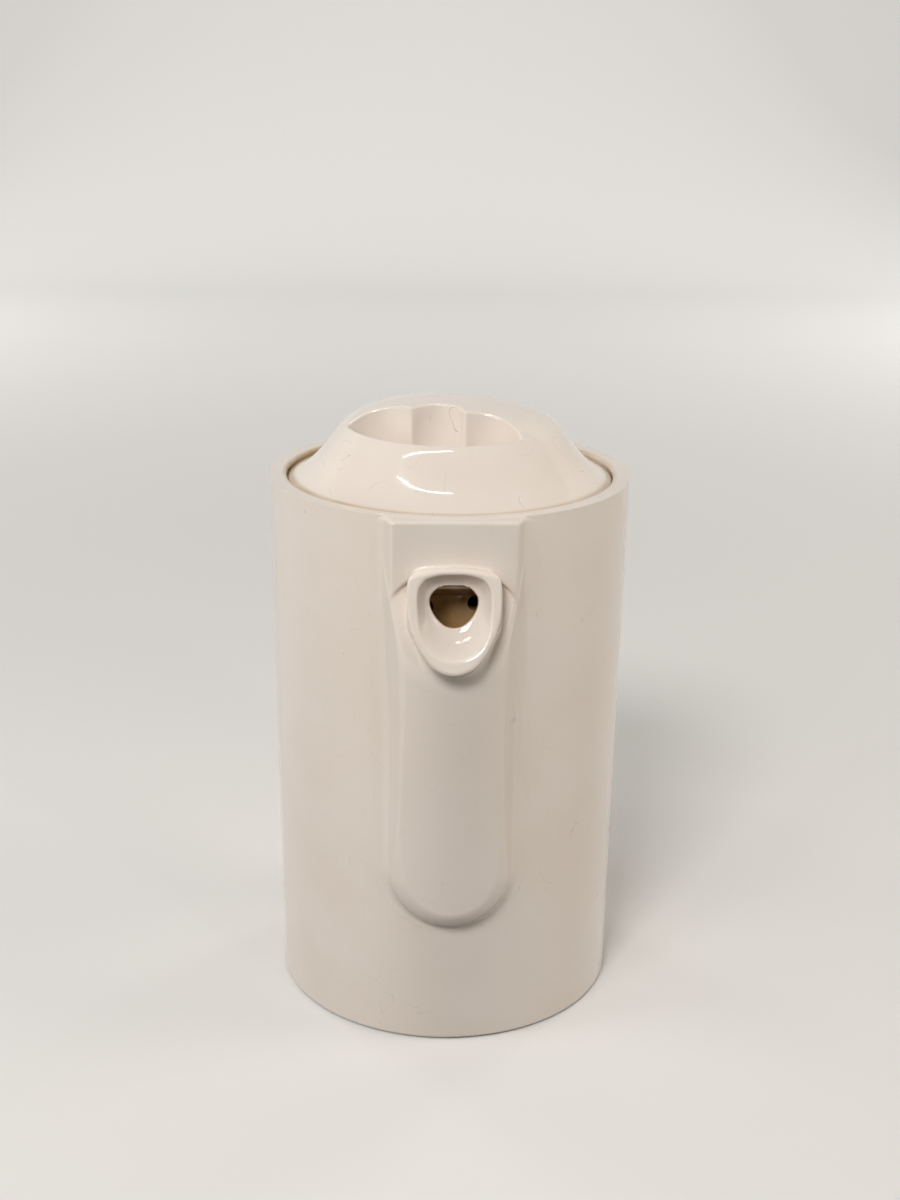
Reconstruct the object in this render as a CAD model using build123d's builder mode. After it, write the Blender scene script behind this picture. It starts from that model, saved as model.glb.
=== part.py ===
from build123d import *
import math
import os

os.makedirs("parts", exist_ok=True)

# All sizes are millimetres. The origin is the centre of the underside, the spout
# points along -Y and the handle stands at +Y.

# Outer jacket
pot_height = 182.4
rim_radius = 60.0
jacket_taper = 1.7
jacket_wall = 5.6
rim_round = 1.8
rim_bevel = 0.9
foot_round = 1.2

# Seat of the lid in the rim
seat_clearance = 0.4
seat_depth = 3.8
rest_gap = 0.3

# Inner vessel
vessel_wall = 3.6
wall_space = 3.8
floor_space = 5.4
vessel_corner = 9.0
neck_step = 2.5
neck_height = 16.0
ledge_thickness = 4.0
joint_gap = 0.05

# Base disc and its vent
base_disc_thickness = 8.0
disc_chamfer = 1.0
vent_offset = 32.0
vent_radius = 4.0
plug_head_radius = 6.0
plug_head_height = 1.6
plug_pocket_gap = 0.3

# Spout: boss, relief and beak
boss_half_width = 19.2
boss_proud = 2.3
boss_corner_drop = 25.4
boss_arch_radius = 20.7
boss_edge_round = 0.6
flank_draft = 24.0
root_sink = 0.4
relief_half_width = 20.8
relief_bottom = 41.7
relief_face_radius = 41.0
relief_proud = 5.6
relief_lean = 3.1
relief_edge_round = 2.6
relief_setback = 2.5
beak_proud = 24.0
beak_roof_drop = 13.9
beak_roof_radius = 52.0
beak_half_width = 14.2
beak_roof_round = 2.6
beak_roof_lip = 2.6
mouth_top_proud = 7.1
mouth_tip_proud = 18.0
mouth_height = 26.7
lip_round = 1.3
bowl_half_width = 11.3
bowl_height = 26.0
bowl_rise = 1.2
bowl_depth = 5.5
dish_half_width = 9.3
dish_height = 18.9
dish_drop = 0.4
dish_depth = 4.0
hole_half_width = 7.4
hole_height = 12.2
hole_drop = 2.0

# The beak swells out between three levels, each given by its drop from the rim and
# by how far its shoulder and its front stand proud of the rim
beak_low_drop = 75.4
beak_low_half_width = 13.0
beak_low_shoulder = 0.0
beak_low_front = 5.5
beak_throat_drop = 57.4
beak_throat_shoulder = 3.0
beak_throat_front = 9.8
beak_chin_drop = 43.4
beak_chin_shoulder = 3.8
beak_chin_front = 18.0
beak_cheek_drop = 28.0
beak_cheek_shoulder = 7.8
beak_cheek_front = 22.0

# Chamber behind the mouth and the strainer
chamber_half_width = 12.5
chamber_floor_drop = 54.4
chamber_roof_drop = 20.4
chamber_roof_slope = 30.0
chamber_proud = 2.5
sleeve_wall = 3.0
strainer_hole_radius = 2.4
strainer_ring_radius = 10.9
strainer_drop = 38.2
strainer_first_angle = 50.0
strainer_count = 4

# Handle
handle_width = 22.0
handle_thickness = 12.5
handle_edge_round = 4.5
handle_top_drop = 26.4
handle_bottom = 54.0
handle_proud = 37.0
handle_bend = 20.0
handle_draw_in = 5.0

# Lid
lid_turn = -19.5
lid_edge_drop = 1.6
lid_edge_slope = 0.45
lid_cap_height = 24.4
cap_share = 0.407
cap_height = 22.0
shoulder_share = 0.639
shoulder_height = 16.8
cone_share = 0.759
cone_height = 9.2
waist_share = 0.870
waist_height = 2.6
lid_edge_round = 0.7
lid_wall = 3.8
lid_slant_wall = 5.8
well_rim_inset = 0.3
well_floor = 4.5
well_draft = 3.0
well_floor_round = 3.5
well_rim_round = 0.9
cusp_half_pitch_share = 0.2661
cusp_offset_share = 0.386
cusp_round = 0.9
well_corner_round = 1.5
middle_flute_offset_share = 0.2281
outer_flute_offset_share = 0.3099
outer_flute_centre_share = 0.5556
well_corner_offset_share = 0.5029
skirt_clearance = 0.9
skirt_wall = 3.5
skirt_depth = 21.0
plug_floor_depth = 12.0
plug_floor_thickness = 3.5
skirt_edge_round = 0.8
spigot_height = 2.6
spigot_step = 2.0

# Lugs of the lid and their notches in the neck
lug_reach = 2.5
lug_height = 3.4
lug_width = 12.0
lug_clearance = 0.6

# Silicone ring in the skirt
seal_height = 2.7
seal_groove_depth = 1.8
seal_drop = 6.0
seal_clearance = 0.15
seal_bore_gap = 0.3
seal_edge_round = 0.8

# Values that follow from the sizes above
base_radius = rim_radius - jacket_taper
seat_radius = rim_radius - jacket_wall
lid_radius = seat_radius - seat_clearance
ledge_top = pot_height - seat_depth
neck_bottom = ledge_top - neck_height
vessel_outer = seat_radius - wall_space
vessel_radius = vessel_outer - vessel_wall
vessel_floor = base_disc_thickness + floor_space + vessel_wall
neck_bore = vessel_radius - neck_step
skirt_radius = neck_bore - skirt_clearance
spigot_radius = skirt_radius + spigot_step
root_depth = seat_radius - root_sink
boss_face = rim_radius + boss_proud
boss_corner_height = pot_height - boss_corner_drop
beak_roof = pot_height - beak_roof_drop
beak_reach = rim_radius + beak_proud
mouth_top_reach = rim_radius + mouth_top_proud
mouth_tip_reach = rim_radius + mouth_tip_proud
chamber_bottom = pot_height - chamber_floor_drop
chamber_top = pot_height - chamber_roof_drop
chamber_front = rim_radius + chamber_proud
chamber_back = vessel_radius
strainer_height = pot_height - strainer_drop
handle_top = pot_height - handle_top_drop
handle_reach = rim_radius + handle_proud
flange_level = rest_gap - seat_depth
flange_bottom = pot_height + flange_level
skirt_bottom = flange_bottom - skirt_depth
lug_top = neck_bottom - rest_gap
cap_radius = cap_share * lid_radius
shoulder_radius = shoulder_share * lid_radius
cone_radius = cone_share * lid_radius
waist_radius = waist_share * lid_radius
well_radius = shoulder_radius - well_rim_inset
well_corner_offset = well_corner_offset_share * well_radius
well_corner = math.sqrt(well_radius**2 - well_corner_offset**2)
cusp_half_pitch = cusp_half_pitch_share * well_radius
cusp_offset = cusp_offset_share * well_radius
middle_flute_offset = middle_flute_offset_share * well_radius
outer_flute_offset = outer_flute_offset_share * well_radius
outer_flute_centre = outer_flute_centre_share * well_radius


# The jacket's outside as one filled form, which trims what is luted to it
with BuildPart() as envelope:
    with BuildSketch(Plane.XZ) as envelope_section:
        with BuildLine():
            Polyline(
                (0, 0),
                (base_radius, 0),
                (rim_radius, pot_height),
                (0, pot_height),
                close=True,
            )
        make_face()
        foot_corner = envelope_section.vertices().sort_by(Axis.X)[-2]
        rim_corner = envelope_section.vertices().sort_by(Axis.X)[-1]
        fillet(foot_corner, foot_round)
        fillet(rim_corner, rim_round)
    revolve(axis=Axis.Z)

# Space of the chamber behind the mouth, seen from the front as an upturned arch
def chamber_outline(half, low, high):
    """Front view of the chamber: flat roof, straight sides and a round bottom."""
    with BuildLine() as outline:
        Line((-half, low + half), (-half, high))
        Line((-half, high), (half, high))
        Line((half, high), (half, low + half))
        ThreePointArc((half, low + half), (0, low), (-half, low + half))
    make_face(outline.edges())


roof_tilt = math.radians(chamber_roof_slope)
roof_plane = Plane(
    origin=(0, -chamber_front, chamber_top),
    x_dir=(1, 0, 0),
    z_dir=(0, math.sin(roof_tilt), math.cos(roof_tilt)),
)
with BuildPart() as chamber:
    with BuildSketch(Plane.XZ.offset(chamber_back)):
        chamber_outline(chamber_half_width, chamber_bottom, chamber_top)
    extrude(amount=chamber_front - chamber_back)
    split(bisect_by=roof_plane, keep=Keep.BOTTOM)

# Outer jacket
with BuildPart() as outer_jacket:
    add(envelope.part)
    with BuildSketch():
        Circle(seat_radius)
    extrude(amount=pot_height, mode=Mode.SUBTRACT)
    top_edges = outer_jacket.edges().filter_by(GeomType.CIRCLE).group_by(Axis.Z)[-1]
    fillet(top_edges.sort_by(SortBy.RADIUS)[0], rim_bevel)
    add(chamber.part, mode=Mode.SUBTRACT)

outer_jacket.part.label = "outer_jacket"
export_step(outer_jacket.part, "parts/outer_jacket.step")

# Inner vessel: a straight liner with a thicker neck, a ledge for the lid and a strainer
with BuildPart() as vessel_form:
    with BuildSketch(Plane.XZ) as vessel_section:
        with BuildLine():
            Polyline(
                (0, vessel_floor - vessel_wall),
                (vessel_outer, vessel_floor - vessel_wall),
                (vessel_outer, ledge_top - ledge_thickness),
                (seat_radius - joint_gap, ledge_top - ledge_thickness),
                (seat_radius - joint_gap, ledge_top),
                (0, ledge_top),
                close=True,
            )
        make_face()
        outer_corner = vessel_section.vertices().group_by(Axis.Y)[0].sort_by(Axis.X)[-1]
        fillet(outer_corner, vessel_corner + vessel_wall)
    revolve(axis=Axis.Z)

with BuildPart() as inner_vessel:
    add(vessel_form.part)
    with BuildSketch(Plane.XZ) as hollow_section:
        with BuildLine():
            Polyline(
                (0, vessel_floor),
                (vessel_radius, vessel_floor),
                (vessel_radius, neck_bottom),
                (neck_bore, neck_bottom),
                (neck_bore, ledge_top),
                (0, ledge_top),
                close=True,
            )
        make_face()
        inner_corner = hollow_section.vertices().group_by(Axis.Y)[0].sort_by(Axis.X)[-1]
        fillet(inner_corner, vessel_corner)
    revolve(axis=Axis.Z, mode=Mode.SUBTRACT)
    notch_depth = 2 * (vessel_radius - neck_bore)
    with BuildSketch(Plane.XY.offset(neck_bottom)):
        with PolarLocations(vessel_radius - notch_depth / 2, 2, start_angle=lid_turn):
            Rectangle(notch_depth, lug_width + 2 * lug_clearance)
    extrude(amount=neck_height, mode=Mode.SUBTRACT)
    with BuildSketch(Plane.XZ.offset(vessel_radius - vessel_wall)):
        with Locations((0, strainer_height)):
            with PolarLocations(strainer_ring_radius, strainer_count, start_angle=strainer_first_angle):
                Circle(strainer_hole_radius)
    extrude(amount=2 * vessel_wall + joint_gap, mode=Mode.SUBTRACT)

inner_vessel.part.label = "inner_vessel"
export_step(inner_vessel.part, "parts/inner_vessel.step")

# Base disc with its vent
with BuildPart() as base_disc:
    with BuildSketch():
        Circle(seat_radius - joint_gap)
        with Locations((0, vent_offset)):
            Circle(vent_radius, mode=Mode.SUBTRACT)
    extrude(amount=base_disc_thickness)
    with BuildSketch():
        with Locations((0, vent_offset)):
            Circle(plug_head_radius + plug_pocket_gap)
    extrude(amount=plug_head_height + plug_pocket_gap, mode=Mode.SUBTRACT)
    lower_edges = base_disc.edges().filter_by(GeomType.CIRCLE).group_by(Axis.Z)[0]
    chamfer(lower_edges.sort_by(SortBy.RADIUS)[-1], disc_chamfer)

base_disc.part.label = "base_disc"
export_step(base_disc.part, "parts/base_disc.step")

# Plug of the vent
with BuildPart() as vent_plug:
    with BuildSketch(Plane.XY.offset(plug_pocket_gap)):
        with Locations((0, vent_offset)):
            Circle(plug_head_radius)
    extrude(amount=plug_head_height)
    fillet(vent_plug.edges().group_by(Axis.Z)[0], plug_head_height / 2)
    with BuildSketch(Plane.XY.offset(plug_pocket_gap + plug_head_height)):
        with Locations((0, vent_offset)):
            Circle(vent_radius - joint_gap)
    extrude(amount=base_disc_thickness - plug_pocket_gap - plug_head_height)

vent_plug.part.label = "vent_plug"
export_step(vent_plug.part, "parts/vent_plug.step")

# Spout: boss, relief and beak in one piece
flank_spread = (boss_face - root_depth) * math.tan(math.radians(flank_draft))
arch_rise = boss_arch_radius - math.sqrt(boss_arch_radius**2 - boss_half_width**2)
arch_centre = boss_corner_height - boss_arch_radius + arch_rise
mouth_lean = math.atan2(mouth_tip_reach - mouth_top_reach, mouth_height)
mouth_plane = Plane(
    origin=(0, -mouth_top_reach, beak_roof - beak_roof_lip),
    x_dir=(1, 0, 0),
    z_dir=(0, -math.cos(mouth_lean), math.sin(mouth_lean)),
)

with BuildPart() as boss:
    with BuildSketch(Plane.XY.offset(boss_corner_height)):
        boss_plan = [
            (-boss_half_width - flank_spread, -root_depth),
            (-boss_half_width, -boss_face),
            (boss_half_width, -boss_face),
            (boss_half_width + flank_spread, -root_depth),
        ]
        Polygon(*boss_plan, align=None)
    extrude(amount=pot_height - boss_corner_height)
    fillet(boss.faces().sort_by(Axis.Y)[0].edges().group_by(Axis.Z)[1:], boss_edge_round)
    with BuildSketch(Plane.XZ.offset(root_depth)):
        with Locations((0, arch_centre)):
            Circle(boss_arch_radius)
    extrude(amount=boss_face, mode=Mode.SUBTRACT)

# The relief's face is part of a large cylinder that leans out towards the beak
with BuildPart() as relief:
    relief_centre = relief_bottom + relief_half_width
    face_plane = Plane(
        origin=(0, relief_face_radius - rim_radius - relief_proud, relief_bottom),
        x_dir=(1, 0, 0),
        z_dir=(0, -math.sin(math.radians(relief_lean)), math.cos(math.radians(relief_lean))),
    )
    with BuildSketch(Plane.XZ.offset(root_depth)):
        with BuildLine():
            Line((-relief_half_width, relief_centre), (-relief_half_width, pot_height))
            Line((-relief_half_width, pot_height), (relief_half_width, pot_height))
            Line((relief_half_width, pot_height), (relief_half_width, relief_centre))
            ThreePointArc(
                (relief_half_width, relief_centre),
                (0, relief_bottom),
                (-relief_half_width, relief_centre),
            )
        make_face()
    extrude(amount=beak_reach - root_depth, taper=flank_draft)
    with BuildSketch(face_plane.offset(-relief_face_radius)):
        Circle(relief_face_radius)
    extrude(amount=2 * pot_height, mode=Mode.INTERSECT)
    split(bisect_by=mouth_plane.offset(-relief_setback), keep=Keep.BOTTOM)
    face_rim = relief.faces().sort_by(Axis.Y)[0].edges().group_by(Axis.Z)[:-1]
    fillet([edge for group in face_rim for edge in group], relief_edge_round)

# The beak swells out of the relief, level by level up to its crowned roof
beak_levels = [
    (beak_low_drop, beak_low_half_width, beak_low_shoulder, beak_low_front),
    (beak_throat_drop, beak_half_width, beak_throat_shoulder, beak_throat_front),
    (beak_chin_drop, beak_half_width, beak_chin_shoulder, beak_chin_front),
    (beak_cheek_drop, beak_half_width, beak_cheek_shoulder, beak_cheek_front),
    (beak_roof_drop, beak_half_width, beak_cheek_shoulder, beak_cheek_front),
]
with BuildPart() as beak:
    for drop, half, shoulder_proud, front_proud in beak_levels:
        shoulder = -rim_radius - shoulder_proud
        with BuildSketch(Plane.XY.offset(pot_height - drop)):
            with BuildLine():
                Line((half, -root_depth), (half, shoulder))
                ThreePointArc((half, shoulder), (0, -rim_radius - front_proud), (-half, shoulder))
                Line((-half, shoulder), (-half, -root_depth))
                Line((-half, -root_depth), (half, -root_depth))
            make_face()
    loft()
    with BuildSketch(Plane.XZ.offset(root_depth)) as crown:
        with Locations((0, beak_roof - beak_roof_radius)):
            Circle(beak_roof_radius)
        with Locations((0, beak_roof / 2)):
            Rectangle(2 * beak_half_width, beak_roof, mode=Mode.INTERSECT)
        fillet(crown.vertices().group_by(Axis.Y)[-1], beak_roof_round)
    extrude(amount=beak_reach, mode=Mode.INTERSECT)
    split(bisect_by=mouth_plane, keep=Keep.BOTTOM)
    mouth_faces = beak.faces().filter_by(Axis(origin=(0, 0, 0), direction=mouth_plane.z_dir))
    fillet(mouth_faces.edges(), lip_round)


def shield(half, top, height, corner, lower):
    """Round three-sided outline, wide side up, in the plane of the mouth."""
    right = [
        (corner * half, top - 0.05 * height),
        (half, top - 0.34 * height),
        (lower * half, top - 0.70 * height),
    ]
    left = [(-x, y) for x, y in reversed(right)]
    with BuildLine() as outline:
        Spline((0, top), *right, (0, top - height), *left, periodic=True)
    make_face(outline.edges())


with BuildPart() as bowl:
    with BuildSketch(mouth_plane):
        shield(bowl_half_width, bowl_rise, bowl_height, 0.73, 0.87)
    with BuildSketch(mouth_plane.offset(-dish_depth)):
        shield(dish_half_width, -dish_drop, dish_height, 0.70, 0.82)
    with BuildSketch(mouth_plane.offset(-bowl_depth)) as hole:
        shield(hole_half_width, -hole_drop, hole_height, 0.68, 0.76)
    loft()
    extrude(hole.sketch, amount=-bowl_depth)

with BuildPart() as spout:
    add(boss.part)
    add(relief.part)
    add(beak.part)
    add(bowl.part, mode=Mode.SUBTRACT)
    add(envelope.part, mode=Mode.SUBTRACT)
    add(chamber.part, mode=Mode.SUBTRACT)

spout.part.label = "spout"
export_step(spout.part, "parts/spout.step")

# Sleeve that carries the chamber through the insulation
with BuildPart() as sleeve_form:
    with BuildSketch(Plane.XZ.offset(chamber_back)):
        sleeve_half_width = chamber_half_width + sleeve_wall
        chamber_outline(sleeve_half_width, chamber_bottom - sleeve_wall, chamber_top + sleeve_wall)
    extrude(amount=chamber_front - chamber_back)
    split(bisect_by=roof_plane.offset(sleeve_wall), keep=Keep.BOTTOM)
    with BuildSketch():
        Circle(seat_radius - joint_gap)
        Circle(vessel_outer + joint_gap, mode=Mode.SUBTRACT)
    extrude(amount=pot_height, mode=Mode.INTERSECT)

with BuildPart() as spout_sleeve:
    add(sleeve_form.part)
    add(chamber.part, mode=Mode.SUBTRACT)

spout_sleeve.part.label = "spout_sleeve"
export_step(spout_sleeve.part, "parts/spout_sleeve.step")

# Insulation between the walls
with BuildPart() as insulation:
    with BuildSketch(Plane.XY.offset(base_disc_thickness + joint_gap)):
        Circle(seat_radius - 2 * joint_gap)
    extrude(amount=ledge_top - ledge_thickness - base_disc_thickness - 2 * joint_gap)
    add(vessel_form.part, mode=Mode.SUBTRACT)
    add(sleeve_form.part, mode=Mode.SUBTRACT)
    add(chamber.part, mode=Mode.SUBTRACT)

insulation.part.label = "insulation"
export_step(insulation.part, "parts/insulation.step")

# Handle
with BuildPart() as handle:
    with BuildLine(Plane.YZ) as handle_path:
        FilletPolyline(
            (root_depth, handle_top),
            (handle_reach, handle_top),
            (handle_reach - handle_draw_in, handle_bottom),
            (root_depth, handle_bottom),
            radius=handle_bend,
        )
    with BuildSketch(Plane(origin=(0, root_depth, handle_top), x_dir=(1, 0, 0), z_dir=(0, 1, 0))):
        RectangleRounded(handle_width, handle_thickness, handle_edge_round)
    sweep()
    add(envelope.part, mode=Mode.SUBTRACT)

handle.part.label = "handle"
export_step(handle.part, "parts/handle.step")

# Lid shell: a dome with two finger wells and a fluted bar left between them. Its heights
# are measured from the rim until it is set on the pot.
with BuildPart() as dome:
    with BuildSketch(Plane.XZ):
        with BuildLine():
            Spline(
                (0, lid_cap_height),
                (cap_radius, cap_height),
                (shoulder_radius, shoulder_height),
                (cone_radius, cone_height),
                (waist_radius, waist_height),
                (lid_radius, -lid_edge_drop),
                tangents=((1, 0), (1, -lid_edge_slope)),
            )
            Line((lid_radius, -lid_edge_drop), (lid_radius, flange_level))
            Line((lid_radius, flange_level), (0, flange_level))
            Line((0, flange_level), (0, lid_cap_height))
        make_face()
    revolve(axis=Axis.Z)
    flange_rim = dome.edges().filter_by(GeomType.CIRCLE).sort_by(SortBy.RADIUS)[-2:]
    fillet(flange_rim, lid_edge_round)


def well_outline():
    """Plan of the front finger well: one wide arc outside, three flutes inside."""
    with BuildLine() as outline:
        ThreePointArc(
            (-well_corner, -well_corner_offset),
            (0, -well_radius),
            (well_corner, -well_corner_offset),
        )
        ThreePointArc(
            (well_corner, -well_corner_offset),
            (outer_flute_centre, -outer_flute_offset),
            (cusp_half_pitch, -cusp_offset),
        )
        ThreePointArc(
            (cusp_half_pitch, -cusp_offset),
            (0, -middle_flute_offset),
            (-cusp_half_pitch, -cusp_offset),
        )
        ThreePointArc(
            (-cusp_half_pitch, -cusp_offset),
            (-outer_flute_centre, -outer_flute_offset),
            (-well_corner, -well_corner_offset),
        )
    make_face(outline.edges())


well_depth = lid_cap_height - well_floor
with BuildPart() as well:
    with BuildSketch(Plane.XY.offset(lid_cap_height)) as well_plan:
        well_outline()
        fillet(well_plan.vertices().group_by(Axis.Y)[-1], cusp_round)
        fillet(well_plan.vertices().group_by(Axis.Y)[0], well_corner_round)
    extrude(amount=-well_depth, taper=well_draft)
    fillet(well.faces().sort_by(Axis.Z)[0].edges(), well_floor_round)

with BuildPart() as well_wall:
    with BuildSketch(Plane.XY.offset(lid_cap_height)) as wall_plan:
        well_outline()
        offset(amount=lid_wall)
    extrude(amount=-well_depth - lid_wall)

with BuildPart() as lid_hollow:
    with BuildSketch(Plane.XZ):
        with BuildLine():
            Polyline(
                (0, flange_level),
                (spigot_radius + joint_gap, flange_level),
                (spigot_radius + joint_gap, flange_level + spigot_height),
                (cone_radius, cone_height - lid_slant_wall),
                (shoulder_radius, shoulder_height - lid_slant_wall),
                (cap_radius, cap_height - lid_wall),
                (0, lid_cap_height - lid_wall),
                close=True,
            )
        make_face()
    revolve(axis=Axis.Z)
    with PolarLocations(0, 2):
        add(well_wall.part, mode=Mode.SUBTRACT)

with BuildPart() as lid_shell:
    add(dome.part)
    with PolarLocations(0, 2):
        add(well.part, mode=Mode.SUBTRACT)
    rim_level = shoulder_height - well_rim_round
    well_rims = lid_shell.edges().filter_by(lambda edge: edge.bounding_box().min.Z > rim_level)
    fillet(well_rims, well_rim_round)
    add(lid_hollow.part, mode=Mode.SUBTRACT)

lid_shell.part = lid_shell.part.rotate(Axis.Z, lid_turn).moved(Location((0, 0, pot_height)))
lid_shell.part.label = "lid_shell"
export_step(lid_shell.part, "parts/lid_shell.step")

# Lid base: a closed cup under the dome, with a spigot, a groove for the ring and two lugs
cup_radius = skirt_radius - skirt_wall
cup_floor = flange_bottom - plug_floor_depth
seal_top = flange_bottom - seal_drop
with BuildPart() as lid_base:
    with BuildSketch(Plane.XZ):
        with BuildLine():
            Polyline(
                (0, cup_floor),
                (cup_radius, cup_floor),
                (cup_radius, flange_bottom + spigot_height),
                (spigot_radius, flange_bottom + spigot_height),
                (spigot_radius, flange_bottom),
                (skirt_radius, flange_bottom),
                (skirt_radius, skirt_bottom),
                (cup_radius, skirt_bottom),
                (cup_radius, cup_floor - plug_floor_thickness),
                (0, cup_floor - plug_floor_thickness),
                close=True,
            )
        make_face()
    revolve(axis=Axis.Z)
    fillet(lid_base.edges().filter_by(GeomType.CIRCLE).group_by(Axis.Z)[0], skirt_edge_round)
    with BuildSketch(Plane.XY.offset(seal_top)):
        Circle(skirt_radius)
        Circle(skirt_radius - seal_groove_depth, mode=Mode.SUBTRACT)
    extrude(amount=-seal_height - 2 * seal_clearance, mode=Mode.SUBTRACT)
    with BuildSketch(Plane.XY.offset(lug_top)):
        with PolarLocations(skirt_radius, 2, start_angle=lid_turn):
            Rectangle(skirt_wall + lug_reach, lug_width)
        Circle(skirt_radius + lug_reach, mode=Mode.INTERSECT)
    extrude(amount=-lug_height)

lid_base.part.label = "lid_base"
export_step(lid_base.part, "parts/lid_base.step")

# Foam inside the lid
with BuildPart() as lid_insulation:
    with BuildSketch(Plane.XY.offset(cup_floor + joint_gap)):
        Circle(cup_radius - joint_gap)
    extrude(amount=pot_height + well_floor - lid_wall - cup_floor - 2 * joint_gap)

lid_insulation.part.label = "lid_insulation"
export_step(lid_insulation.part, "parts/lid_insulation.step")

# Silicone ring, held by the neck while the lid turns in it
with BuildPart() as lid_seal:
    with BuildSketch(Plane.XY.offset(seal_top - seal_clearance)):
        Circle(neck_bore - seal_bore_gap)
        Circle(skirt_radius - seal_groove_depth + seal_clearance, mode=Mode.SUBTRACT)
    extrude(amount=-seal_height)
    fillet(lid_seal.edges().filter_by(GeomType.CIRCLE).sort_by(SortBy.RADIUS)[-2:], seal_edge_round)

lid_seal.part.label = "lid_seal"
export_step(lid_seal.part, "parts/lid_seal.step")
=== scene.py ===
"""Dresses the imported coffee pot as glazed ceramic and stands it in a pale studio.

The pot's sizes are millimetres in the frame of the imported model: the origin is the
centre of the underside, the spout points along -Y and the handle stands at +Y. Floor
and lamps are in metres in the same frame.
"""

import logging
import math
from dataclasses import dataclass
from enum import Enum
from typing import Any, Callable

import bpy
import numpy as np
from mathutils import Matrix, Vector

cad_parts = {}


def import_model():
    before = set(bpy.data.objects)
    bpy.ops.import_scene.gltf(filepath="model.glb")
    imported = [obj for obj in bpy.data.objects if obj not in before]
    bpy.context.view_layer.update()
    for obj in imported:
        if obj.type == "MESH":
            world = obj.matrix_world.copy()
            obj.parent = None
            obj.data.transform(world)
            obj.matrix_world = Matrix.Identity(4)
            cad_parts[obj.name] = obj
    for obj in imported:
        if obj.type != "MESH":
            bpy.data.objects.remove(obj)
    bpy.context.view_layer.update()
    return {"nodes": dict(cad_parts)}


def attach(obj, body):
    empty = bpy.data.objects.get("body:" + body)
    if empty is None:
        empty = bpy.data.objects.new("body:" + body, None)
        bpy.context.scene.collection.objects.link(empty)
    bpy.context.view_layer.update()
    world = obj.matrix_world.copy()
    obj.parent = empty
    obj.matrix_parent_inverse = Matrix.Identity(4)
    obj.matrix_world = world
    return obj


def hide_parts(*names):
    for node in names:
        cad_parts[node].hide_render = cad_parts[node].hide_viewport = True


MM = 0.001
Colour = tuple[float, float, float]
Point = tuple[float, float, float]
Marks = tuple[float, float, float]
Span = tuple[float, float]
Stops = tuple[Span, ...]
Form = Callable[[np.ndarray, np.ndarray, np.ndarray], np.ndarray]
Skin = tuple[np.ndarray, np.ndarray, np.ndarray]
Nodes = dict[str, bpy.types.Object]

log = logging.getLogger("coffee_pot")


class Signal:
    """A shader socket that takes part in expressions like a number."""

    def __init__(self, tree: "Tree", socket: bpy.types.NodeSocket) -> None:
        """Keeps the socket and the tree it belongs to."""
        self.tree = tree
        self.socket = socket

    def _math(self, operation: str, first: Any, second: Any = 0.0) -> "Signal":
        """Adds one Math node and returns its output."""
        return self.tree.node("ShaderNodeMath", {"operation": operation}, {0: first, 1: second})

    def __add__(self, other: Any) -> "Signal":
        """self + other."""
        return self._math("ADD", self, other)

    __radd__ = __add__

    def __sub__(self, other: Any) -> "Signal":
        """self - other."""
        return self._math("SUBTRACT", self, other)

    def __rsub__(self, other: Any) -> "Signal":
        """other - self."""
        return self._math("SUBTRACT", other, self)

    def __mul__(self, other: Any) -> "Signal":
        """self * other."""
        return self._math("MULTIPLY", self, other)

    __rmul__ = __mul__

    def __pow__(self, other: Any) -> "Signal":
        """self raised to other."""
        return self._math("POWER", self, other)

    def least(self, other: Any) -> "Signal":
        """The smaller of the two."""
        return self._math("MINIMUM", self, other)

    def most(self, other: Any) -> "Signal":
        """The larger of the two."""
        return self._math("MAXIMUM", self, other)

    def absolute(self) -> "Signal":
        """Size of the value without its sign."""
        return self._math("ABSOLUTE", self)

    def band(self, low: float, high: float) -> "Signal":
        """A smooth step from 0 at low to 1 at high, either way round.

        Args:
            low: Value that gives 0.
            high: Value that gives 1.

        Returns:
            The stepped signal.
        """
        settings = {"interpolation_type": "SMOOTHSTEP"}
        sockets = {"Value": self, "From Min": low, "From Max": high}
        return self.tree.node("ShaderNodeMapRange", settings, sockets)

    def between(self, low: float, high: float) -> "Signal":
        """Stretches 0 to 1 so that it runs from low to high."""
        return self * (high - low) + low


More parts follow.
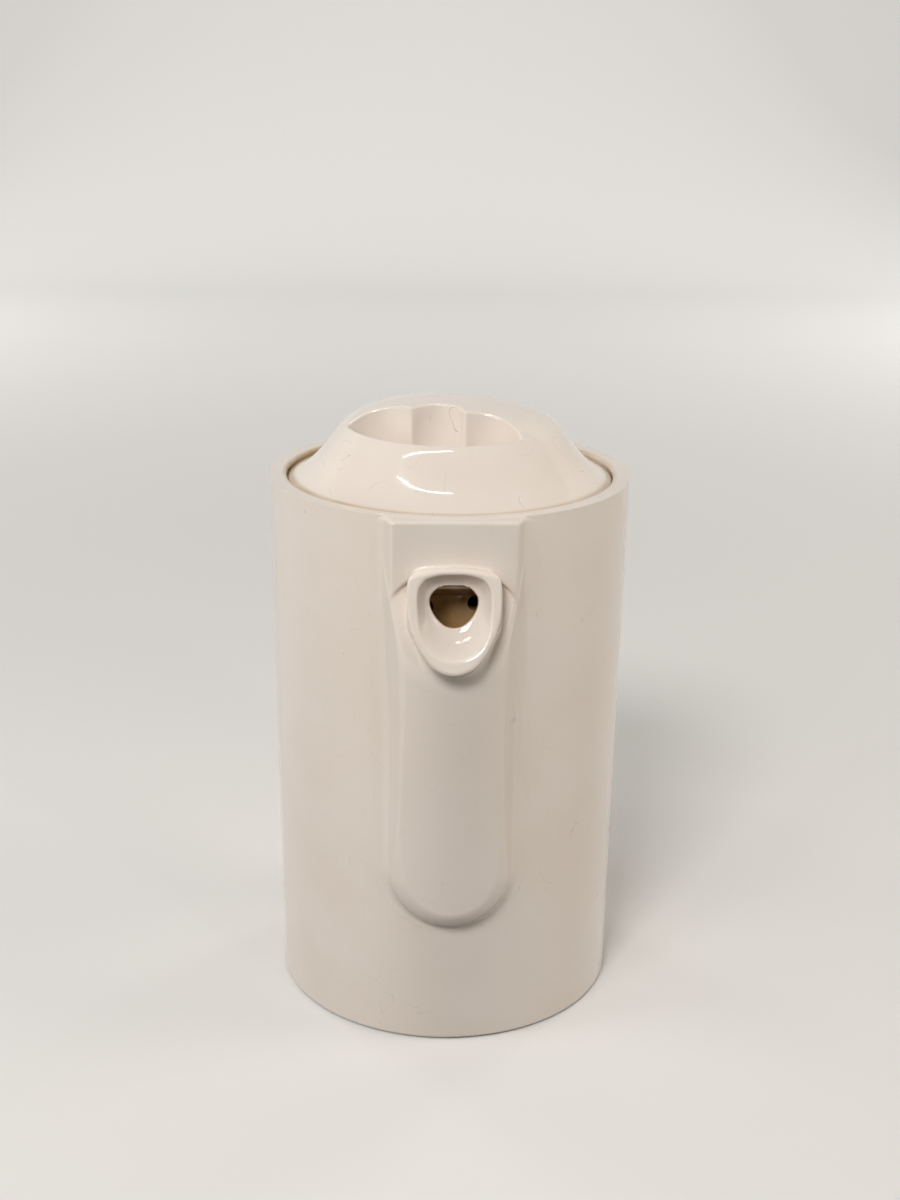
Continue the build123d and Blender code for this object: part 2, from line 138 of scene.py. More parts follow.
class Tree:
    """A node tree, filled by one method and closed by another."""

    def __init__(self, tree: bpy.types.NodeTree) -> None:
        """Empties the tree and keeps it."""
        tree.nodes.clear()
        self.tree = tree

    def node(
        self,
        kind: str,
        settings: dict[str, Any],
        sockets: dict[Any, Any],
        output: Any = 0,
    ) -> Signal:
        """Adds a node.

        Args:
            kind: The node's type.
            settings: Its own settings, set first.
            sockets: Values or signals by socket name or number.
            output: Name or number of the output that is returned.

        Returns:
            The chosen output as a signal.
        """
        made = self.tree.nodes.new(kind)
        for key, value in settings.items():
            setattr(made, key, value)
        for key, value in sockets.items():
            if isinstance(value, Signal):
                self.tree.links.new(value.socket, made.inputs[key])
            else:
                made.inputs[key].default_value = value
        return Signal(self, made.outputs[output])

    def close(self, kind: str, socket: str, signal: Signal) -> None:
        """Adds the output node that ends the tree.

        Args:
            kind: The node's type.
            socket: Name of its input.
            signal: What goes into it.
        """
        made = self.tree.nodes.new(kind)
        self.tree.links.new(signal.socket, made.inputs[socket])

    def blend(self, share: Any, first: Any, second: Any) -> Signal:
        """Mixes two colours.

        Args:
            share: How much of the second, from 0 to 1.
            first: Colour or signal.
            second: Colour or signal.

        Returns:
            The mixed colour.
        """
        ends = [(*c, 1.0) if isinstance(c, tuple) else c for c in (first, second)]
        sockets = {"Factor": share, 6: ends[0], 7: ends[1]}
        return self.node("ShaderNodeMix", {"data_type": "RGBA"}, sockets, 2)

    def ray(self, kind: str) -> Signal:
        """1 for rays of a kind, such as Camera or Glossy, and 0 for the others."""
        return self.node("ShaderNodeLightPath", {}, {}, f"Is {kind} Ray")


@dataclass(frozen=True)
class Mottle:
    """Soft patches: cells a metre, octaves, where the noise counts as 0 and 1, and the result."""

    per_metre: float
    detail: float
    edge: Span
    result: Span = (0.0, 1.0)


class Graph(Tree):
    """The node tree of one material."""

    def __init__(self, name: str) -> None:
        """Starts an empty material of that name."""
        self.material = bpy.data.materials.new(name)
        self.material.use_nodes = True
        super().__init__(self.material.node_tree)

    def place(self) -> Signal:
        """Object coordinates, in metres."""
        return self.node("ShaderNodeTexCoord", {}, {}, "Object")

    def axes(self, unit: float = MM) -> tuple[Signal, Signal, Signal]:
        """The three object coordinates.

        Args:
            unit: Length that counts as one, in metres.

        Returns:
            The coordinates, in that unit.
        """
        place = {"Vector": self.place()}
        x, y, z = (self.node("ShaderNodeSeparateXYZ", {}, place, axis) for axis in range(3))
        return x * (1 / unit), y * (1 / unit), z * (1 / unit)

    def pinholes(self, per_metre: float, rare: float, size: float) -> Signal:
        """Sparse round pits, 1 in a pit and 0 elsewhere.

        Args:
            per_metre: Cells a metre.
            rare: How much of the surface has none, from 0 to 1.
            size: Radius of a pit, in cells.

        Returns:
            The mask.
        """
        core, spread, soft = 0.4, 1.4, 0.04
        sockets = {"Vector": self.place(), "Scale": per_metre}
        cell = self.node("ShaderNodeTexVoronoi", {}, sockets, "Distance")
        where = self.noise(per_metre * spread, 0.0).band(rare, rare + soft)
        return cell.band(size, size * core) * where

    def hairlines(self, per_metre: float, rare: float, width: float) -> Signal:
        """Sparse curved scratches, 1 on a scratch and 0 elsewhere.

        Args:
            per_metre: Cells a metre.
            rare: How much of the surface has none, from 0 to 1.
            width: Width of a scratch, as a share of the noise's range.

        Returns:
            The mask.
        """
        middle, spread, soft = 0.5, 2.6, 0.05
        contour = (self.noise(per_metre, 1.0) - middle).absolute().band(width, 0.0)
        return contour * self.noise(per_metre * spread, 0.0).band(rare, rare + soft)

    def noise(self, per_metre: float, detail: float) -> Signal:
        """Soft noise from 0 to 1.

        Args:
            per_metre: Size of the pattern, in cells a metre.
            detail: Octaves of finer noise on top.

        Returns:
            The noise value.
        """
        sockets = {"Vector": self.place(), "Scale": per_metre, "Detail": detail}
        return self.node("ShaderNodeTexNoise", {}, sockets)

    def mottle(self, patches: Mottle) -> Signal:
        """Noise with soft edges, scaled to its range."""
        noise = self.noise(patches.per_metre, patches.detail)
        return noise.band(*patches.edge).between(*patches.result)

    def bump(self, height: Signal, depth_mm: float) -> Signal:
        """Turns a height from 0 to 1 into a normal.

        Args:
            height: The height signal.
            depth_mm: Depth of a full step, in millimetres.

        Returns:
            The normal.
        """
        return self.node("ShaderNodeBump", {}, {"Height": height, "Distance": depth_mm * MM})

    def finish(self, sockets: dict[str, Any]) -> bpy.types.Material:
        """Closes the tree with a Principled shader.

        Args:
            sockets: Values or signals of the shader's sockets.

        Returns:
            The material.
        """
        shader = self.node("ShaderNodeBsdfPrincipled", {}, sockets)
        self.close("ShaderNodeOutputMaterial", "Surface", shader)
        return self.material


@dataclass(frozen=True)
class Mouth:
    """Plane of the pouring mouth, which leans back. It takes arrays and signals alike.

    Its upper end is given by the distance in front of the pot's axis and the height.
    """

    top: Span = (67.1, 165.9)
    lean: float = math.atan2(10.9, 26.7)

    def ahead(self, y: Any, z: Any) -> Any:
        """Distance in front of the plane, negative behind it.

        Args:
            y: Depths, in millimetres.
            z: Heights.

        Returns:
            The distances.
        """
        forward = (y + self.top[0]) * -math.cos(self.lean)
        return forward + (z - self.top[1]) * math.sin(self.lean)

    def up(self, y: Any, z: Any) -> Any:
        """Place up the plane, 0 at its upper end.

        Args:
            y: Depths, in millimetres.
            z: Heights.

        Returns:
            The places.
        """
        level = (y + self.top[0]) * math.sin(self.lean)
        return level + (z - self.top[1]) * math.cos(self.lean)


class Wear(Enum):
    """Where years of coffee have marked a glazed piece."""

    SPOUT = "spout"
    LID = "lid"
    JACKET = "jacket"
    VESSEL = "vessel"


@dataclass(frozen=True)
class Stains:
    """Where coffee marks the glaze, and painted shade darkens the lid seam, in millimetres. A span
    runs from clean to stained.

    The throat's half holds its half width and half height, and seam_share the strength of the
    seam's residue and painted shade on its right and on its left side.
    """

    duct_front: Span = (-62.8, -61.6)
    duct_back: Span = (-38.0, -40.0)
    duct_half: Span = (13.0, 12.5)
    duct_level: float = 145.0
    duct_height: Span = (19.0, 18.0)
    mouth: Mouth = Mouth()
    throat_front: Span = (-5.4, -6.0)
    throat_back: Span = (-12.5, -10.5)
    throat_level: float = -8.3
    throat_half: Span = (8.2, 7.2)
    throat_edge: Span = (1.40, 1.20)
    # ring round the lid seam: dried coffee and painted shade of the gap between lid and rim
    seam_radius: float = 53.7
    seam_width: Span = (2.6, 1.0)
    seam_level: float = 181.2
    seam_height: Span = (3.0, 1.6)
    seam_side: Span = (30.0, -50.0)
    seam_share: Span = (0.60, 0.95)

    def duct(self, graph: Graph) -> Signal:
        """Mask of the duct from the strainer to the spout.

        Args:
            graph: The material's nodes.

        Returns:
            The mask.
        """
        x, y, z = graph.axes()
        outer, inner = self.duct_half
        across = (x * x).band(outer**2, inner**2)
        along = y.band(*self.duct_front) * y.band(*self.duct_back)
        return along * across * (z - self.duct_level).absolute().band(*self.duct_height)

    def throat(self, graph: Graph) -> Signal:
        """Mask of the walls of the hole behind the spout's lip.

        Args:
            graph: The material's nodes.

        Returns:
            The mask.
        """
        x, y, z = graph.axes()
        ahead, up = self.mouth.ahead(y, z), self.mouth.up(y, z) - self.throat_level
        half, tall = self.throat_half
        reach = x * x * half**-2 + up * up * tall**-2
        depth = ahead.band(*self.throat_front) * ahead.band(*self.throat_back)
        return depth * reach.band(*self.throat_edge)

    def seam(self, graph: Graph) -> Signal:
        """Mask of the ring round the lid, part dried coffee and part painted shade of the gap
        between lid and rim, stronger on its left.

        Args:
            graph: The material's nodes.

        Returns:
            The mask.
        """
        x, y, z = graph.axes()
        around = (x * x + y * y) ** 0.5
        ring = (around - self.seam_radius).absolute().band(*self.seam_width)
        ring = ring * (z - self.seam_level).absolute().band(*self.seam_height)
        return ring * x.band(*self.seam_side).between(*self.seam_share)


@dataclass(frozen=True)
class Glaze:
    """Glossy glaze over a warm white body, slightly wavy, with pinholes, hairlines, stains and a
    painted shade line round the lid seam.

    The pits and scratches hold the arguments of Graph.pinholes and Graph.hairlines.
    """

    name: str
    wear: Wear
    colour: Colour = (0.785, 0.698, 0.620)
    pale: Colour = (0.810, 0.731, 0.660)
    brew: Colour = (0.450, 0.255, 0.085)
    # coffee film in the liner; along the lid seam the same colour is also painted shade of the gap
    residue_and_seam_shade: Colour = (0.58, 0.42, 0.24)
    dirt: Colour = (0.13, 0.09, 0.06)
    roughness: float = 0.06
    smudge: float = 0.08
    smudges: Mottle = Mottle(35.0, 4.0, (0.45, 0.75))
    cloud: Mottle = Mottle(24.0, 3.0, (0.35, 0.65))
    film: Mottle = Mottle(38.0, 5.0, (0.40, 0.62), (0.10, 0.65))
    brewed: Mottle = Mottle(110.0, 5.0, (0.30, 0.70), (0.62, 0.97))
    seam_patches: Mottle = Mottle(70.0, 3.0, (0.25, 0.60), (0.50, 1.00))
    stains: Stains = Stains()
    pits: Marks = (85.0, 0.56, 0.036)
    pit_dirt: float = 0.7
    pit_depth: float = 0.6
    scratches: Marks = (52.0, 0.55, 0.0020)
    scratch_dirt: float = 0.16
    wave_mm: float = 0.05
    wave_per_metre: float = 42.0
    ripple_per_metre: float = 210.0
    ripple: float = 0.08
    coat: float = 0.35
    coat_roughness: float = 0.03
    ior: float = 1.52

    def stained(self, graph: Graph, tone: Signal) -> Signal:
        """Lays coffee over the glaze, and painted shade along the lid seam.

        Args:
            graph: The material's nodes.
            tone: Colour of the clean glaze.

        Returns:
            The stained colour.
        """
        if self.wear is Wear.VESSEL:
            tone = graph.blend(graph.mottle(self.film), tone, self.residue_and_seam_shade)
        if self.wear is not Wear.LID:
            inside = self.stains.duct(graph)
            if self.wear is Wear.SPOUT:
                inside = inside + self.stains.throat(graph)
            tone = graph.blend(inside * graph.mottle(self.brewed), tone, self.brew)
        if self.wear is not Wear.VESSEL:
            # lid seam ring: partly dried coffee, partly painted shade where the lid meets the rim
            seam = self.stains.seam(graph) * graph.mottle(self.seam_patches)
            tone = graph.blend(seam, tone, self.residue_and_seam_shade)
        return tone

    def material(self) -> bpy.types.Material:
        """Builds the glaze.

        Returns:
            The material.
        """
        graph = Graph(self.name)
        clean = graph.blend(graph.mottle(self.cloud), self.colour, self.pale)
        pinhole = graph.pinholes(*self.pits)
        pitted = graph.blend(pinhole * self.pit_dirt, self.stained(graph, clean), self.dirt)
        scratch = graph.hairlines(*self.scratches)
        wave = graph.noise(self.wave_per_metre, 1.0)
        wave = wave + graph.noise(self.ripple_per_metre, 1.0) * self.ripple
        return graph.finish({
            "Base Color": graph.blend(scratch * self.scratch_dirt, pitted, self.dirt),
            "Roughness": graph.mottle(self.smudges) * self.smudge + self.roughness,
            "Normal": graph.bump(wave - pinhole * self.pit_depth, self.wave_mm),
            "Coat Weight": self.coat,
            "Coat Roughness": self.coat_roughness,
            "IOR": self.ior,
        })


@dataclass(frozen=True)
class Moulded:
    """Matte plastic, foam or rubber with a fine grain."""

    name: str
    colour: Colour
    dark: Colour
    roughness: float = 0.6
    cloud: Mottle = Mottle(40.0, 4.0, (0.3, 0.7))
    grain_per_metre: float = 900.0
    grain_octaves: float = 3.0
    grain_gloss: float = 0.15
    grain_mm: float = 0.03

    def material(self) -> bpy.types.Material:
        """Builds the finish.

        Returns:
            The material.
        """
        graph = Graph(self.name)
        grain = graph.noise(self.grain_per_metre, self.grain_octaves)
        return graph.finish({
            "Base Color": graph.blend(graph.mottle(self.cloud), self.colour, self.dark),
            "Roughness": grain * self.grain_gloss + self.roughness,
            "Normal": graph.bump(grain, self.grain_mm),
        })


@dataclass(frozen=True)
class Paper:
    """Matte paper for the floor. It glows softly towards the horizon, by distance in metres."""

    name: str = "pale_paper"
    colour: Colour = (0.76, 0.75, 0.73)
    bounce: Colour = (0.12, 0.105, 0.09)
    unlit: Colour = (0.0, 0.0, 0.0)
    glow: Colour = (0.36, 0.355, 0.345)
    glow_behind: Span = (0.3, 1.9)
    glow_around: Span = (0.7, 1.9)
    roughness: float = 0.85

    def material(self) -> bpy.types.Material:
        """Builds the paper.

        Returns:
            The material.
        """
        graph = Graph(self.name)
        seen = graph.ray("Camera")
        shown = seen + graph.ray("Glossy")
        across, depth, _ = graph.axes(1.0)
        around = (across * across + depth * depth) ** 0.5
        behind = shown * depth.band(*self.glow_behind)
        share = behind.most(seen * around.band(*self.glow_around))
        return graph.finish({
            "Base Color": graph.blend(shown, self.bounce, self.colour),
            "Roughness": self.roughness,
            "Emission Color": graph.blend(share, self.unlit, self.glow),
            "Emission Strength": 1.0,
        })


def join(first: np.ndarray, second: np.ndarray, fillet: float) -> np.ndarray:
    """Union of two distance fields with a concave fillet.

    Args:
        first: Distance to one form, negative inside.
        second: Distance to the other.
        fillet: Radius of the fillet.

    Returns:
        The joined field.
    """
    near = np.hypot(np.maximum(fillet - first, 0.0), np.maximum(fillet - second, 0.0))
    return np.maximum(fillet, np.minimum(first, second)) - near


def trim(first: np.ndarray, second: np.ndarray, radius: float) -> np.ndarray:
    """What two distance fields have in common, with a rounded edge.

    Args:
        first: Distance to one form, negative inside.
        second: Distance to the other.
        radius: Radius of the edge.

    Returns:
        The trimmed field.
    """
    near = np.hypot(np.maximum(radius + first, 0.0), np.maximum(radius + second, 0.0))
    return np.minimum(-radius, np.maximum(first, second)) + near


def settle(form: Form, points: np.ndarray) -> tuple[np.ndarray, np.ndarray]:
    """Moves points onto a form's surface.

    Args:
        form: Distance to the surface, in millimetres.
        points: One point a row.

    Returns:
        The moved points and the surface's normal at each.
    """
    rounds, probe, flattest, stride = 5, 0.02, 0.05, 0.3
    for _ in range(rounds):
        slope = np.empty_like(points)
        for axis in range(3):
            shift = np.zeros(3)
            shift[axis] = probe
            rise = form(*(points + shift).T) - form(*(points - shift).T)
            slope[:, axis] = rise / (2 * probe)
        steep = np.maximum((slope**2).sum(axis=1, keepdims=True), flattest)
        points = points - np.clip(form(*points.T)[:, None] * slope / steep, -stride, stride)
    return points, slope / np.sqrt(steep)


def skin(form: Form, low: Point, high: Point, step: float) -> Skin:
    """Covers a form with quads, with one corner in each cell that its surface crosses.

    Args:
        form: Distance to the surface, in millimetres.
        low: Lowest corner of the space that is searched.
        high: Highest corner.
        step: Size of a cell.

    Returns:
        Points, their normals and the quads.
    """
    lines = [np.arange(start, stop, step) for start, stop in zip(low, high)]
    values = form(*np.meshgrid(*lines, indexing="ij"))
    crossings, rings = [], []
    for axis in range(3):
        ahead = np.roll(values, -1, axis)
        found = np.argwhere((values < 0) != (ahead < 0))
        inner = (found >= 1) & (found < np.array(values.shape) - 1)
        found = found[inner.all(axis=1)]
        here, there = values[tuple(found.T)], ahead[tuple(found.T)]
        crossing = found.astype(float)
        crossing[:, axis] += here / (here - there)
        across, along = np.eye(3, dtype=int)[[(axis + 1) % 3, (axis + 2) % 3]]
        cells = [found, found - across, found - across - along, found - along]
        ring = np.stack([np.ravel_multi_index(cell.T, values.shape) for cell in cells], axis=1)
        ring[here > 0] = ring[here > 0][:, ::-1]
        crossings.append(crossing)
        rings.append(ring)
    corners = np.repeat(np.concatenate(crossings), 4, axis=0)
    _, slots = np.unique(np.concatenate(rings), return_inverse=True)
    slots = slots.ravel()
    total = np.stack([np.bincount(slots, corners[:, axis]) for axis in range(3)], axis=1)
    middles = np.array(low) + step * total / np.bincount(slots)[:, None]
    points, normals = settle(form, middles)
    return points, normals, slots.reshape(-1, 4)


def put(name: str, data: bpy.types.ID) -> bpy.types.Object:
    """Puts a mesh, lamp or camera into the scene.

    Args:
        name: The object's name.
        data: What the object shows.

    Returns:
        The object, at the origin.
    """
    made = bpy.data.objects.new(name, data)
    bpy.context.scene.collection.objects.link(made)
    return made


def coat(nodes: Nodes, finish: bpy.types.Material, *names: str) -> None:
    """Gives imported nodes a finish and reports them.

    Args:
        nodes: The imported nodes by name.
        finish: The material.
        names: Which nodes take it.
    """
    for name in names:
        for slot in nodes[name].material_slots:
            slot.material = finish
        log.info("%s is finished in %s", name, finish.name)


@dataclass(frozen=True)
class Outline:
    """Closed round outline, the same on both sides, given by points of its right half."""

    centre: float
    half: Stops

    def distance(self, u: np.ndarray, v: np.ndarray) -> np.ndarray:
        """Distance to the outline, negative inside.

        Args:
            u: Place across.
            v: Place along the axis of symmetry.

        Returns:
            The distance.
        """
        probe = 0.01
        across, along = np.array(self.half).T
        along = along - self.centre
        stops = tuple(zip(np.arctan2(across, along), np.hypot(across, along)))
        angle = np.arctan2(np.abs(u), v - self.centre)
        radius = curve(angle, stops)
        turn = (curve(angle + probe, stops) - curve(angle - probe, stops)) / (2 * probe)
        return (np.hypot(u, v - self.centre) - radius) / np.sqrt(1.0 + (turn / radius) ** 2)


def curve(z: np.ndarray, stops: Stops) -> np.ndarray:
    """Smooth curve through stops, flat beyond the ends.

    Args:
        z: Where it is read.
        stops: Pairs of place and value, in rising order of place.

    Returns:
        The values.
    """
    at, value = np.array(stops).T
    tangent = np.gradient(value, at)
    tangent[0] = tangent[-1] = 0.0
    z = np.clip(z, at[0], at[-1])
    left = np.clip(np.searchsorted(at, z, side="right") - 1, 0, len(at) - 2)
    gap = at[left + 1] - at[left]
    t = (z - at[left]) / gap
    rise = (2 * t**3 - 3 * t**2 + 1) * value[left] + (3 * t**2 - 2 * t**3) * value[left + 1]
    leave, reach = t**3 - 2 * t**2 + t, t**3 - t**2
    return rise + gap * (leave * tangent[left] + reach * tangent[left + 1])


@dataclass(frozen=True)
class Spout:
    """Spout as one glazed form: boss, relief and beak with a dished mouth, luted to the jacket.

    Stops pair a height with a size. Outlines lie in the plane of the mouth.
    """

    # Jacket that the spout is luted to
    top: float = 182.4
    foot_radius: float = 58.3
    taper: float = 1.7
    rim_round: float = 1.8
    depth_in_wall: float = 2.2
    skin_proud: float = 0.02
    luting: float = 1.5
    skirt: float = 3.0
    # Boss above the beak, and the arch that the beak comes out of
    boss_face: float = 62.3
    boss_edge: float = 0.7
    boss_top_edge: float = 1.3
    boss_fillet: float = 0.8
    arch_level: float = 145.0
    arch_radius: float = 22.8
    arch_edge: float = 1.1
    # Drafted flanks of the whole, and the relief below the beak
    flank_half: Stops = ((112.0, 21.3), (160.0, 22.9))
    flank_draft: float = math.radians(24.0)
    relief_foot: float = 41.7
    relief_radius: float = 41.0
    relief_axis: float = 24.6
    relief_lean: float = math.radians(3.1)
    relief_edge: Stops = ((44.0, 4.5), (72.0, 1.5), (150.0, 1.5))
    relief_setback: float = 7.5
    relief_fade: float = 3.0
    root: float = 54.0
    # Beak, from its chin to its roof
    beak_half: float = 14.9
    beak_edge: float = 1.0
    beak_front: Stops = (
        (92.0, 61.5), (107.0, 65.0), (125.0, 70.0), (133.0, 76.0),
        (139.2, 80.6), (144.0, 82.0), (160.0, 84.6), (172.0, 86.6),
    )
    beak_shoulder: Stops = (
        (92.0, 56.0), (107.0, 60.0), (125.0, 62.2), (139.2, 63.9),
        (144.0, 65.1), (160.0, 69.2), (172.0, 72.2),
    )
    chin_fillet: Stops = ((128.0, 4.5), (146.0, 0.8))
    roof: float = 168.5
    roof_radius: float = 52.0
    roof_edge: float = 1.2
    # Mouth: the flat lip, the dish inside it and the hole in its floor
    mouth: Mouth = Mouth()
    lip: Outline = Outline(-12.0, (
        (0.0, 6.0), (5.0, 5.4), (10.0, 3.6), (13.5, 1.5), (14.8, -1.3),
        (14.8, -4.2), (14.45, -7.5), (13.75, -12.0), (12.4, -17.0), (10.8, -20.6),
        (8.9, -23.7), (5.9, -27.1), (2.9, -28.7), (0.0, -29.2),
    ))
    lip_edge: float = 1.2
    lip_round: float = 1.1
    lip_flare: Stops = ((-20.0, 0.05), (-8.0, 0.25))
    dish_edge: float = 0.65
    dish_depth: float = 5.5
    dish_power: float = 1.8
    dish_reach: float = 4.0
    narrowest: float = 1.0
    rim: Outline = Outline(-11.0, (
        (0.0, 1.5), (5.5, 1.1), (9.6, -0.6), (11.1, -3.1), (11.4, -7.0), (11.2, -11.5),
        (10.6, -16.1), (9.3, -19.3), (6.3, -22.8), (3.1, -24.4), (0.0, -24.8),
    ))
    hole: Outline = Outline(-7.6, (
        (0.0, -2.3), (3.5, -2.5), (6.0, -3.5), (7.1, -5.0), (7.3, -6.7),
        (6.5, -9.4), (5.6, -10.9), (4.4, -12.3), (2.4, -13.8), (0.0, -14.3),
    ))
    hole_back: float = 61.0
    hole_edge: float = 0.7
    # Chamber behind the hole
    chamber_half: float = 12.55
    chamber_low: float = 127.95
    chamber_front: float = 62.5
    chamber_high: float = 162.75
    chamber_slope: float = math.radians(30.0)
    chamber_edge: float = 0.4
    # Mesh
    low: Point = (-27.0, -84.0, 36.0)
    high: Point = (27.0, -50.0, 184.0)
    step: float = 0.5
    finish: Glaze = Glaze("spout_glaze", Wear.SPOUT)

    def boss(self, x: np.ndarray, y: np.ndarray, z: np.ndarray) -> np.ndarray:
        """Distance to the block above the beak, arched over it.

        Args:
            x: Places across, in millimetres.
            y: Depths.
            z: Heights.

        Returns:
            The distance, negative inside.
        """
        block = trim(-y - self.boss_face, self.flanks(x, y, z), self.boss_edge)
        arch = self.arch_radius - np.hypot(x, np.maximum(z - self.arch_level, 0.0))
        return trim(trim(block, arch, self.arch_edge), z - self.top, self.boss_top_edge)

    def relief(self, x: np.ndarray, y: np.ndarray, z: np.ndarray) -> np.ndarray:
        """Distance to the front of the long raised panel below the beak.

        Args:
            x: Places across, in millimetres.
            y: Depths.
            z: Heights.

        Returns:
            The distance, negative inside.
        """
        leaning = (y + self.relief_axis) * math.cos(self.relief_lean)
        leaning = leaning + (z - self.relief_foot) * math.sin(self.relief_lean)
        face = np.hypot(x, leaning) - self.relief_radius
        return trim(face, self.mouth.ahead(y, z) + self.relief_setback, self.relief_fade)

    def flanks(self, x: np.ndarray, y: np.ndarray, z: np.ndarray) -> np.ndarray:
        """Distance to the drafted sides that the panel, the beak and the block share.

        Args:
            x: Places across, in millimetres.
            y: Depths.
            z: Heights.

        Returns:
            The distance, negative inside.
        """
        half = curve(z, self.flank_half)
        plan = np.hypot(x, np.minimum(z - self.relief_foot - half, 0.0)) - half
        return plan * math.cos(self.flank_draft) - (y + self.root) * math.sin(self.flank_draft)

    def beak(self, x: np.ndarray, y: np.ndarray, z: np.ndarray) -> np.ndarray:
        """Distance to the beak, without its mouth.

        Args:
            x: Places across, in millimetres.
            y: Depths.
            z: Heights.

        Returns:
            The distance, negative inside.
        """
        front, shoulder = curve(z, self.beak_front), curve(z, self.beak_shoulder)
        bulge = front - shoulder
        radius = (self.beak_half**2 + bulge**2) / (2 * bulge)
        chin = np.hypot(x, -y - front + radius) - radius
        sides = trim(chin, np.abs(x) - self.beak_half, self.beak_edge)
        roof = np.hypot(x, z - self.roof + self.roof_radius) - self.roof_radius
        roofed = trim(sides, roof, self.roof_edge)
        ahead, up = self.mouth.ahead(y, z), self.mouth.up(y, z)
        slope = curve(up, self.lip_flare)
        flared = self.lip.distance(x, up) + np.minimum(ahead, 0.0) * slope
        lipped = trim(roofed, flared / np.hypot(1.0, slope), self.lip_edge)
        return trim(lipped, ahead, self.lip_round)

    def dish(self, x: np.ndarray, y: np.ndarray, z: np.ndarray) -> tuple[np.ndarray, np.ndarray]:
        """Solid side of the dish inside the lip and of the hole at its floor.

        Args:
            x: Places across, in millimetres.
            y: Depths.
            z: Heights.

        Returns:
            Both distances, negative in the material.
        """
        ahead, up = self.mouth.ahead(y, z), self.mouth.up(y, z)
        to_rim, to_hole = self.rim.distance(x, up), self.hole.distance(x, up)
        gap = np.maximum(to_hole - to_rim, self.narrowest)
        share = np.clip(-to_rim / gap, -self.dish_reach, 1.0)
        steepest = self.dish_depth * self.dish_power
        falling = self.dish_depth * (1 - np.maximum(1 - share, 0.0) ** self.dish_power)
        depth = np.where(share < 0, steepest * share, falling)
        slope = steepest * np.clip(1 - share, 0.0, 1.0) ** (self.dish_power - 1) / gap
        hole = -np.maximum(to_hole, self.hole_back + y)
        return (ahead + depth) / np.sqrt(1 + slope**2), hole

    def chamber(self, x: np.ndarray, y: np.ndarray, z: np.ndarray) -> np.ndarray:
        """Material side of the chamber behind the mouth.

        Args:
            x: Places across, in millimetres.
            y: Depths.
            z: Heights.

        Returns:
            The distance, negative in the material.
        """
        half, edge = self.chamber_half, self.chamber_edge
        plan = np.hypot(x, np.minimum(z - self.chamber_low - half, 0.0)) - half
        ceiling = (z - self.chamber_high) * math.cos(self.chamber_slope)
        ceiling = ceiling + (y + self.chamber_front) * math.sin(self.chamber_slope)
        return -trim(trim(plan, ceiling, edge), -y - self.chamber_front, edge)

    def form(self, x: np.ndarray, y: np.ndarray, z: np.ndarray) -> np.ndarray:
        """Distance to the finished spout.

        Args:
            x: Places across, in millimetres.
            y: Depths.
            z: Heights.

        Returns:
            The distance, negative inside.
        """
        beaked = join(self.relief(x, y, z), self.beak(x, y, z), curve(z, self.chin_fillet))
        beaked = trim(beaked, self.flanks(x, y, z), curve(z, self.relief_edge))
        proud = join(beaked, self.boss(x, y, z), self.boss_fillet)
        around = np.hypot(x, y) - self.foot_radius - self.taper * z / self.top
        wall = trim(around - self.skin_proud, z - self.top - self.skin_proud, self.rim_round)
        luted = np.maximum(join(proud, wall, self.luting), proud - self.skirt)
        luted = np.maximum(luted, -around - self.depth_in_wall)
        dish, hole = self.dish(x, y, z)
        dished = trim(trim(luted, dish, self.dish_edge), hole, self.hole_edge)
        return np.maximum(dished, self.chamber(x, y, z))

    def build(self) -> bpy.types.Object:
        """Meshes the spout and glazes it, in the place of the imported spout.

        Returns:
            The spout.
        """
        points, normals, quads = skin(self.form, self.low, self.high, self.step)
        mesh = bpy.data.meshes.new("spout_glazed")
        mesh.from_pydata((points * MM).tolist(), [], quads.tolist())
        mesh.shade_smooth()
        mesh.normals_split_custom_set_from_vertices(normals.tolist())
        spout = put("spout_glazed", mesh)
        self.dress(spout)
        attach(spout, "pot")
        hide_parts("spout")
        return spout

    def dress(self, spout: bpy.types.Object) -> None:
        """Glazes the spout."""
        spout.data.materials.append(self.finish.material())


